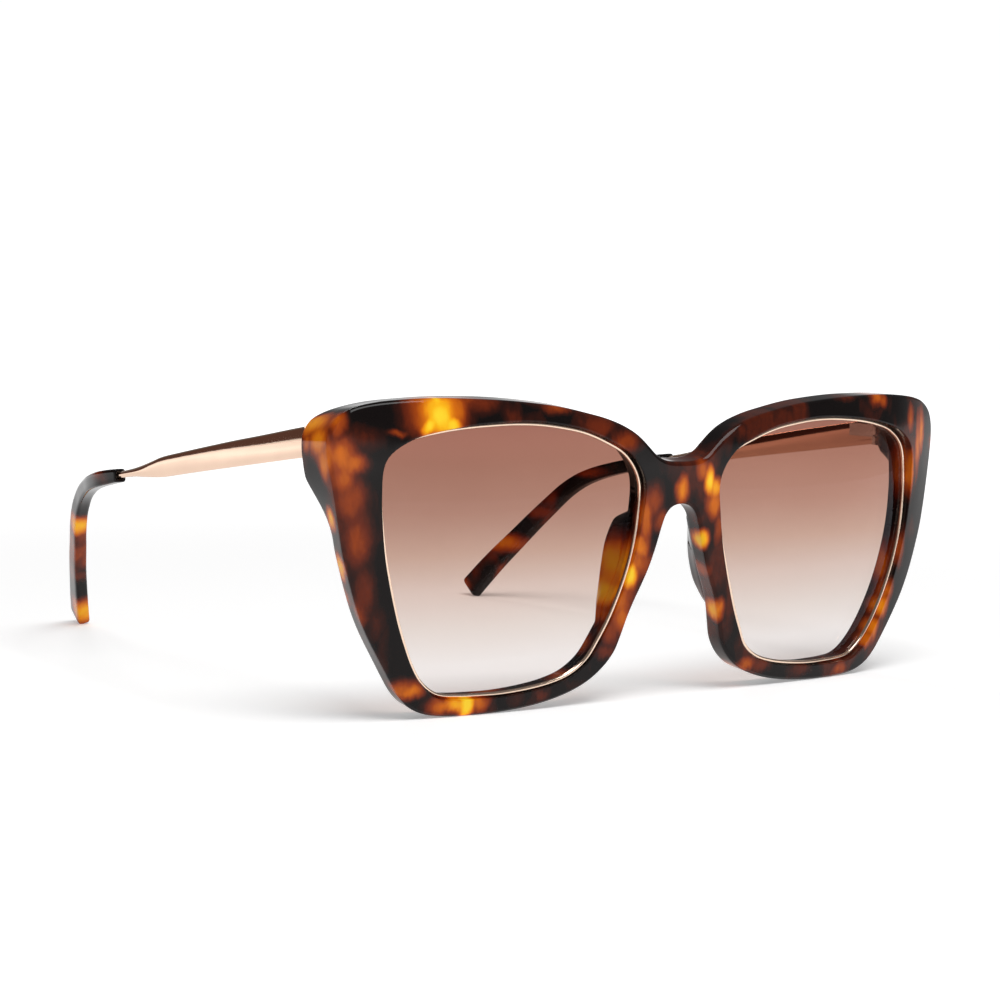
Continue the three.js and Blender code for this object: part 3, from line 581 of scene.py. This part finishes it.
def finish_piece(o, mat, body, node):
    o.data.materials.append(mat)
    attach(o, body)
    if node:
        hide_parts(node)
    return o


# -------------------------------------------------------------- acetate front
def build_front():
    b = Build()
    wall_rows = 7
    prof = [(-0.95, 0.0), (-0.48, 0.0), (-0.36, 0.0), (-0.27, 0.015), (-0.18, 0.07), (-0.06, 0.17), (0.08, 0.30), (0.18, 0.42), (0.25, 0.55), (0.28, 0.72)]
    outer = [edge_loop(o, d) for o, d in prof]
    for j in range(1, wall_rows):
        t = j / wall_rows
        outer.append(edge_loop(BEVEL, lambda x, v, t=t: mix(0.72, rim_depth(x, v) - 0.62, t)))
    R = 0.6
    for a in (0, 18, 36, 54, 72, 90):
        s, c = math.sin(a * DEG), math.cos(a * DEG)
        outer.append(edge_loop(BEVEL - R * (1 - c), lambda x, v, s=s: rim_depth(x, v) - R + R * s))
    r = 0.22
    inner = [front_loop(RING_HALF + r + 0.55, 0.0), front_loop(RING_HALF + r + 0.12, 0.0), front_loop(RING_HALF + r, 0.0), front_loop(RING_HALF + r * 0.62, r * 0.08), front_loop(RING_HALF + r * 0.29, r * 0.29),
             front_loop(RING_HALF + r * 0.08, r * 0.62)]
    q = 0.35
    inner += [lens_loop(RING_HALF, RIM_BACK - q)] + [lens_loop(RING_HALF + q * (1 - math.cos(a * DEG)), RIM_BACK - q + q * math.sin(a * DEG)) for a in (30, 60, 90)]
    sides = [inner, [l * np.array([-1.0, 1, 1]) for l in inner]]
    face_y = END_FACE_Y + SHIFT_Y

    def out(c):
        p = place(level(lean(c)))
        p[:, 1] = np.minimum(p[:, 1], face_y)
        p[:, 2] = np.maximum(p[:, 2], 0.0)
        return p
    so = [b.add(out(l)) for l in outer]
    for k in range(len(so) - 1):
        b.strip(so[k], so[k + 1], OUT_N)
    for s in sides:
        si = [b.add(out(l)) for l in s]
        for k in range(len(si) - 1):
            b.strip(si[k], si[k + 1], OPEN_N)
    # front face
    loops = [outer[0][:, :2], sides[0][0][:, :2], sides[1][0][:, :2]]
    pts, tri = fill(loops[0], loops[1:], 1.0)
    c = np.column_stack([pts, front_depth(pts[:, 0], pts[:, 1])])
    s = b.add(out(c))
    b.faces(tri, s)
    # rear face: a membrane between its edges, flat where the hinges sit
    loops3 = [outer[-1], sides[0][-1], sides[1][-1]]
    pts, tri = fill(loops3[0][:, :2], [loops3[1][:, :2], loops3[2][:, :2]], 0.8)
    known = np.concatenate([l[:, 2] for l in loops3])
    m = len(known)
    w = np.empty(len(pts))
    w[:m] = known
    w[m:] = front_depth(pts[m:, 0], pts[m:, 1]) + 5.0
    e = np.vstack([tri[:, [0, 1]], tri[:, [1, 2]], tri[:, [2, 0]]])
    e = np.unique(np.sort(e, 1), axis=0)
    deg = np.bincount(e.ravel(), minlength=len(pts)).astype(float)
    for _ in range(900):
        acc = np.bincount(e[:, 0], weights=w[e[:, 1]], minlength=len(pts)) + np.bincount(e[:, 1], weights=w[e[:, 0]], minlength=len(pts))
        new = acc / np.maximum(deg, 1)
        w[m:] = new[m:]
    y = pts[:, 1]
    target = (END_FACE_Y + 0.4 + (y - 0) * math.sin(FRONT_TILT + REST_PITCH)) / math.cos(FRONT_TILT + REST_PITCH)
    S = smooth(64.4, 66.2, np.abs(pts[:, 0])) * smooth(15.5, 19.0, pts[:, 1])
    w[m:] = mix(w[m:], np.maximum(w[m:], target[m:]), S[m:])
    s = b.add(out(np.column_stack([pts, w])))
    b.faces(tri, s)
    return b.mesh("acetate_front")


front = weighted(build_front(), 50)
finish_piece(front, acetate, "front", "front_frame")


# -------------------------------------------------------------- rings, lenses
def closed_section(profile, name, mirror):
    """a ring swept round the lens opening; profile gives (offset, depth) points"""
    b = Build()
    starts = [b.add(place(level(lean(lens_loop(o, w))))) for o, w in profile]
    for k in range(len(starts)):
        b.strip(starts[k], starts[(k + 1) % len(starts)], OPEN_N)
    return b.mesh(name, mirror=mirror)


ring_profile = [(0.60, RING_FRONT + 0.08)] + [(0.02 + 0.40 * math.cos(a * DEG), 0.06 - 0.40 * math.sin(a * DEG)) for a in (70, 90, 110, 130, 150, 170, 190)] + [(-0.36, RING_BACK - 0.02), (0.0, RING_BACK), (0.60, RING_BACK)]


def lens_piece(name, mirror):
    b = Build()
    rows = 22
    e = offset(ring_line, RING_HALF + 0.25)
    sides = []
    for w in (RING_BACK + 0.02, LENS_BACK):
        st = []
        for r in range(1, rows + 1):
            t = r / rows
            u, v = e[:, 0] * t, e[:, 1] * t
            st.append(b.add(place(level(lean(lens_chart(u, v, sag(u, v) + w))))))
        mid = b.add(place(level(lean(lens_chart(np.zeros(1), np.zeros(1), np.zeros(1) + w)))))
        for k in range(rows - 1):
            b.strip(st[k], st[k + 1], OPEN_N)
        for i in range(OPEN_N):
            b.f.append((mid, st[0] + i, st[0] + (i + 1) % OPEN_N))
        sides.append(st)
    b.strip(sides[0][-1], sides[1][-1], OPEN_N)
    return b.mesh(name, mirror=mirror)


def pad_piece(name, mirror):
    b = Build()
    rows = spline(PAD, 8, False)
    starts, n = [], 0
    for v, xn, xi, xr, wr in rows:
        base = PAD_BASE + PAD_RISE * max(0, v - 2)
        h, e = wr - base, min(0.75, (xi - xn) * 0.3)
        base -= 1.5 * float(smooth(-6.5, -10.9, v)) + 1.4 * float(smooth(8.0, 10.8, v))
        ctl = [[xn - 0.1, -1.2], [xn, -0.15], [mix(xn, xr - e, 0.5), 0.42 * h], [xr - e, h * 0.86], [xr - e * 0.5, h * 0.97], [xr, h], [xr + e * 0.45, h * 0.95],
               [xr + e * 0.8, h * 0.8], [mix(xi, xr + e * 0.8, 0.45), 0.4 * h], [xi, -0.15], [xi - 0.1, -1.2]]
        s = spline(ctl, 4, False)
        n = len(s)
        starts.append(b.add(place(level(lean(np.column_stack([s[:, 0], np.full(n, v), base + s[:, 1]]))))))
    for k in range(len(starts) - 1):
        b.strip(starts[k], starts[k + 1], n)
    for k, flip in ((0, True), (-1, False)):
        b.f.append(tuple(range(starts[k], starts[k] + n)))
    return b.mesh(name, mirror=mirror)


# -------------------------------------------------------------- temple and tip
def sections(rows, per, make):
    line = spline(rows, per, False)
    return [make(line[i], line[max(0, i - 1)], line[min(len(line) - 1, i + 1)]) for i in range(len(line))]


def unit(v):
    return v / np.linalg.norm(v)


TWIST = (3.4, -3.5)


def temple_ring(r, a, b, n=72):
    y, x, top, bottom, th = r
    h, z = (top - bottom) / 2, (top + bottom) / 2
    d = unit(np.array([b[1] - a[1], b[0] - a[0], (b[2] + b[3] - a[2] - a[3]) / 2]))
    up = unit(np.array([0, 0, 1.0]) - d * d[2])
    side = unit(np.array([1.0, 0, 0]) - d * d[0])
    e = float(mix(0.35, 1.0, 1 - smooth(1.6, 3.4, 2 * h)))
    t = (np.arange(n) + 0.5) / n * 2 * math.pi
    c, s = np.cos(t), np.sin(t)
    flat = 1 - e
    pz = np.sign(s) * np.abs(s) ** mix(0.5, 1, e) * h
    edge = np.clip((h - np.abs(pz)) / 0.42, 0, 1)
    box = np.sqrt(1 - (1 - edge) ** 2) * (th / 2 - 0.13 * (pz / h) ** 2)
    px = np.sign(c) * mix(np.abs(c) * th / 2, box, flat)
    turn = math.radians(float(mix(TWIST[0], TWIST[1], smooth(20, 78, y))))   # the blade twists very slightly
    px, pz = px * math.cos(turn) - pz * math.sin(turn) * flat, pz * math.cos(turn) + px * math.sin(turn)
    return np.array([x, y, z]) + px[:, None] * side + pz[:, None] * up


def loft_piece(rings, name, mirror, flat_ends=True):
    b = Build()
    n = len(rings[0])
    st = [b.add(place(level(r))) for r in rings]
    for k in range(len(st) - 1):
        b.strip(st[k], st[k + 1], n)
    b.f.append(tuple(range(st[0], st[0] + n)))
    b.f.append(tuple(range(st[-1], st[-1] + n)))
    return b.mesh(name, mirror=mirror)


def temple_piece(name, mirror):
    rings = sections(TEMPLE, 10, temple_ring)
    # softened front end
    c0 = rings[0].mean(0)
    first = []
    for s, back in ((0.86, 0.0), (0.95, 0.05), (0.99, 0.14)):
        first.append(c0 + (rings[0] - c0) * np.array([s, 1, s]) + np.array([0, back, 0]))
    rings = first + [r for r in rings[1:]]
    return loft_piece(rings, name, mirror)


def tip_ring(r, a, b, grow=0.0, n=72, k=0.36):
    x, y, z, w, th = r
    d = unit(np.array([b[0] - a[0], b[1] - a[1], b[2] - a[2]]))
    side = unit(np.array([1.0, 0, 0]) - d * d[0])
    up = unit(np.cross(side, d))
    t = (np.arange(n) + 0.5) / n * 2 * math.pi
    c, s = np.cos(t), np.sin(t)
    return np.array([x, y, z]) + (np.sign(c) * np.abs(c) ** k * (th / 2 + grow))[:, None] * side + (np.sign(s) * np.abs(s) ** k * (w / 2 + grow))[:, None] * up


def tip_piece(name, mirror):
    L = spline(TIP, 8, False)
    n = len(L)
    rings = [tip_ring(L[i], L[max(0, i - 1)], L[min(n - 1, i + 1)]) for i in range(n)]
    last, prev = L[-1], L[-2]
    d = unit(last[:3] - prev[:3])
    for a in (15, 30, 45, 60, 75, 88):
        s, g = math.sin(a * DEG), 1 - math.cos(a * DEG)
        q = last.copy()
        q[:3] += d * 0.95 * s
        rings.append(tip_ring(q, q - np.r_[d, 0, 0], q + np.r_[d, 0, 0], -1.2 * g))
    # mouth: rounded lip and a short recess round the wire
    f0, f1 = L[0], L[1]
    d = unit(f1[:3] - f0[:3])
    head = []
    for depth, grow in ((1.6, -0.62), (0.25, -0.60), (0.05, -0.55), (-0.0, -0.42), (0.02, -0.22), (0.10, -0.07), (0.25, -0.01)):
        q = f0.copy()
        q[:3] += d * depth
        head.append(tip_ring(q, q - np.r_[d, 0, 0], q + np.r_[d, 0, 0], grow))
    rings = head + rings[1:]
    o = loft_piece([np.column_stack([r[:, 0], r[:, 1], r[:, 2]]) for r in rings], name, mirror)
    for v in o.data.vertices:
        v.co.z = max(v.co.z, 0.0)
    return o


for side, mirror in (("left", False), ("right", True)):
    r = weighted(closed_section(ring_profile, "gold_ring_" + side, mirror), 60)
    finish_piece(r, gold_ring, "front", "rim_ring_" + side)
    l = lens_piece("tinted_lens_" + side, mirror)
    weighted(l, 60)
    finish_piece(l, lens_mat, "front", "lens_" + side)
    p = weighted(pad_piece("acetate_pad_" + side, mirror), 60)
    finish_piece(p, acetate, "front", "nose_pad_" + side)
    arm = "arm_" + side
    t = weighted(temple_piece("gold_temple_" + side, mirror), 60)
    finish_piece(t, gold_blade, arm, "temple_" + side)
    e = weighted(tip_piece("acetate_tip_" + side, mirror), 60)
    finish_piece(e, acetate_tip, arm, "ear_tip_" + side)
    for n in ("hinge_front_", "hinge_screw_", "hinge_temple_"):
        o = frame["nodes"][n + side]
        o.data.materials.clear()
        o.data.materials.append(steel)
        for f in o.data.polygons:
            f.use_smooth = True
        o.data.set_sharp_from_angle(angle=35 * DEG)
        m = o.modifiers.new("edges", "BEVEL")
        m.width = 0.00007
        m.segments = 2
        m.limit_method = "ANGLE"
        m.angle_limit = 40 * DEG
        w = o.modifiers.new("normals", "WEIGHTED_NORMAL")
        w.keep_sharp = False

# ------------------------------------------------------------------ the stage
def stage():
    k = Nodes("floor")
    k.b.inputs["Base Color"].default_value = (0.93, 0.93, 0.93, 1)
    k.b.inputs["Roughness"].default_value = 0.9
    k.b.inputs["Specular IOR Level"].default_value = 0.1
    k.b.inputs["Emission Color"].default_value = (1, 1, 1, 1)
    p = k.mm()
    r = k.vmath("LENGTH", p)
    far = k.new("ShaderNodeMapRange", interpolation_type="SMOOTHSTEP")
    far.inputs["From Min"].default_value = 120.0
    far.inputs["From Max"].default_value = 900.0
    far.inputs["To Min"].default_value = FLOOR_GLOW
    far.inputs["To Max"].default_value = 1.0
    k.link(r, far.inputs["Value"])
    k.link(far.outputs[0], k.b.inputs["Emission Strength"])
    bpy.ops.mesh.primitive_plane_add(size=6, location=(0, 0, -0.00002))
    f = bpy.context.object
    f.name = "studio_floor"
    f.data.materials.append(k.m)


FLOOR_GLOW = 0.30
stage()


def world():
    w = bpy.data.worlds.new("studio")
    bpy.context.scene.world = w
    w.use_nodes = True
    t = w.node_tree
    t.nodes.clear()
    N = t.nodes.new
    out = N("ShaderNodeOutputWorld")
    tc = N("ShaderNodeTexCoord")
    sep = N("ShaderNodeSeparateXYZ")
    t.links.new(tc.outputs["Generated"], sep.inputs[0])

    def mth(op, a, b=None, clamp=False):
        n = N("ShaderNodeMath")
        n.operation = op
        n.use_clamp = clamp
        for i, s in enumerate((a, b)):
            if s is None:
                continue
            if isinstance(s, (int, float)):
                n.inputs[i].default_value = s
            else:
                t.links.new(s, n.inputs[i])
        return n.outputs[0]

    def ramp01(v, a, b):
        n = N("ShaderNodeMapRange")
        n.interpolation_type = "SMOOTHSTEP"
        n.inputs["From Min"].default_value = a
        n.inputs["From Max"].default_value = b
        t.links.new(v, n.inputs["Value"])
        return n.outputs[0]
    # a dark card low on the left, seen only in the polished metal
    dx, dy, dz = -0.587, 0.80, 0.0
    dot = mth("ADD", mth("MULTIPLY", sep.outputs[0], dx), mth("MULTIPLY", sep.outputs[1], dy))
    card = mth("MULTIPLY", ramp01(dot, 0.80, 0.93), mth("MULTIPLY", ramp01(sep.outputs[2], -0.004, 0.004), ramp01(sep.outputs[2], 0.42, 0.30)))
    bg = N("ShaderNodeBackground")
    bg.inputs["Color"].default_value = (1, 1, 1, 1)
    low = ramp01(sep.outputs[2], 0.26, 0.10)    # white sweep up to about 10 degrees, a dim room above it
    t.links.new(mth("ADD", mth("MULTIPLY", low, WORLD - CEILING), CEILING), bg.inputs["Strength"])
    dk = N("ShaderNodeBackground")
    dk.inputs["Color"].default_value = (0.10, 0.055, 0.045, 1)
    dk.inputs["Strength"].default_value = 1.0
    m1 = N("ShaderNodeMixShader")
    t.links.new(card, m1.inputs[0])
    t.links.new(bg.outputs[0], m1.inputs[1])
    t.links.new(dk.outputs[0], m1.inputs[2])
    # the front faces this side of the studio, kept dim so the acetate shows its own colour
    side = mth("ADD", mth("MULTIPLY", sep.outputs[0], 0.50), mth("MULTIPLY", sep.outputs[1], -0.866))
    flag = mth("MULTIPLY", ramp01(side, 0.55, 0.80), ramp01(sep.outputs[2], 0.60, 0.40))
    fl = N("ShaderNodeBackground")
    fl.inputs["Color"].default_value = (1, 1, 1, 1)
    fl.inputs["Strength"].default_value = 0.22
    lp = N("ShaderNodeLightPath")
    m3 = N("ShaderNodeMixShader")
    t.links.new(mth("MULTIPLY", flag, lp.outputs["Is Glossy Ray"]), m3.inputs[0])
    t.links.new(m1.outputs[0], m3.inputs[1])
    t.links.new(fl.outputs[0], m3.inputs[2])
    cam = N("ShaderNodeBackground")
    cam.inputs["Color"].default_value = (1, 1, 1, 1)
    cam.inputs["Strength"].default_value = 1.02
    m2 = N("ShaderNodeMixShader")
    t.links.new(lp.outputs["Is Camera Ray"], m2.inputs[0])
    t.links.new(m3.outputs[0], m2.inputs[1])
    t.links.new(cam.outputs[0], m2.inputs[2])
    t.links.new(m2.outputs[0], out.inputs["Surface"])


WORLD = 0.95
CEILING = 0.16
world()


def lamp(name, loc, aim, size, power, spread=None):
    d = bpy.data.lights.new(name, "AREA")
    d.shape = "RECTANGLE"
    d.size, d.size_y = size
    d.energy = power
    o = bpy.data.objects.new(name, d)
    bpy.context.scene.collection.objects.link(o)
    o.location = loc
    o.rotation_euler = (Vector(aim) - Vector(loc)).to_track_quat("-Z", "Y").to_euler()
    return o


lamp("back_soft", (0.23, 0.80, 0.60), (0, 0, 0.04), (0.22, 0.16), 0.9)
lamp("top", (-0.1, -0.5, 1.1), (0, 0, 0.02), (0.8, 0.6), 10.0)

# ---------------------------------------------------------------------- camera
def camera():
    az, el, ro = 36.0007 * DEG, 5.4577 * DEG, 1.6114 * DEG
    f = np.array([math.sin(az) * math.cos(el), math.cos(az) * math.cos(el), -math.sin(el)])
    r = np.array([math.cos(az), -math.sin(az), 0.0])
    u = np.cross(r, f)
    r2 = r * math.cos(ro) + u * math.sin(ro)
    u2 = -r * math.sin(ro) + u * math.cos(ro)
    M = np.array([r2, u2, f])
    T = np.array([33.1380, -12.8876, 422.6945])
    pos = place(level((-M.T @ T)[None]))[0] * 0.001
    R = level(M)
    cam = bpy.data.cameras.new("photo_view")
    o = bpy.data.objects.new("photo_view", cam)
    bpy.context.scene.collection.objects.link(o)
    mat = Matrix(((R[0][0], R[1][0], -R[2][0], pos[0]), (R[0][1], R[1][1], -R[2][1], pos[1]), (R[0][2], R[1][2], -R[2][2], pos[2]), (0, 0, 0, 1)))
    o.matrix_world = mat
    cam.sensor_width = 36.0
    cam.sensor_fit = "HORIZONTAL"
    cam.lens = 36.0 * 2301.19 / 1000
    cam.clip_start, cam.clip_end = 0.01, 50
    bpy.context.scene.camera = o


camera()
sc = bpy.context.scene
sc.view_settings.view_transform = "Standard"
sc.view_settings.look = "None"
